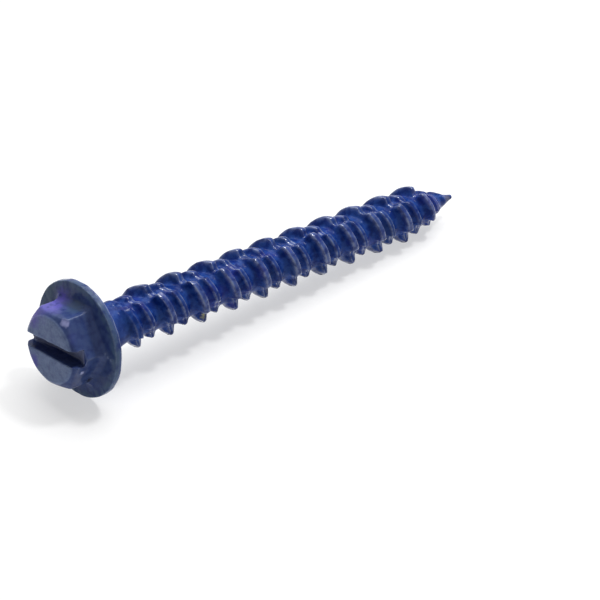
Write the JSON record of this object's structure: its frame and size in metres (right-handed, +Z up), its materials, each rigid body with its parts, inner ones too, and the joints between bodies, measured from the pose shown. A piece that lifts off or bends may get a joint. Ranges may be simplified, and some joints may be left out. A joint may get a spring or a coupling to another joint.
{
  "type": "concrete screw",
  "caption": "Blue coated concrete screw with a slotted hexagon head, a washer-like flange, a tall and a low nicked thread and a cone tip, lying as it comes to rest.",
  "frame": {"origin": "middle of the bounding box, on the floor that the screw lies on", "axes": "+X from the head towards the tip, along the floor; +Z up, away from the floor; the screw's own axis dips 3.8 degrees below +X"},
  "size_m": [0.0618, 0.0126, 0.0127],
  "materials": {
    "coated_steel": "satin dark blue baked coating, slightly lumpy"
  },
  "bodies": {
    "root": {"screw": "coated_steel"}
  },
  "joints": []
}
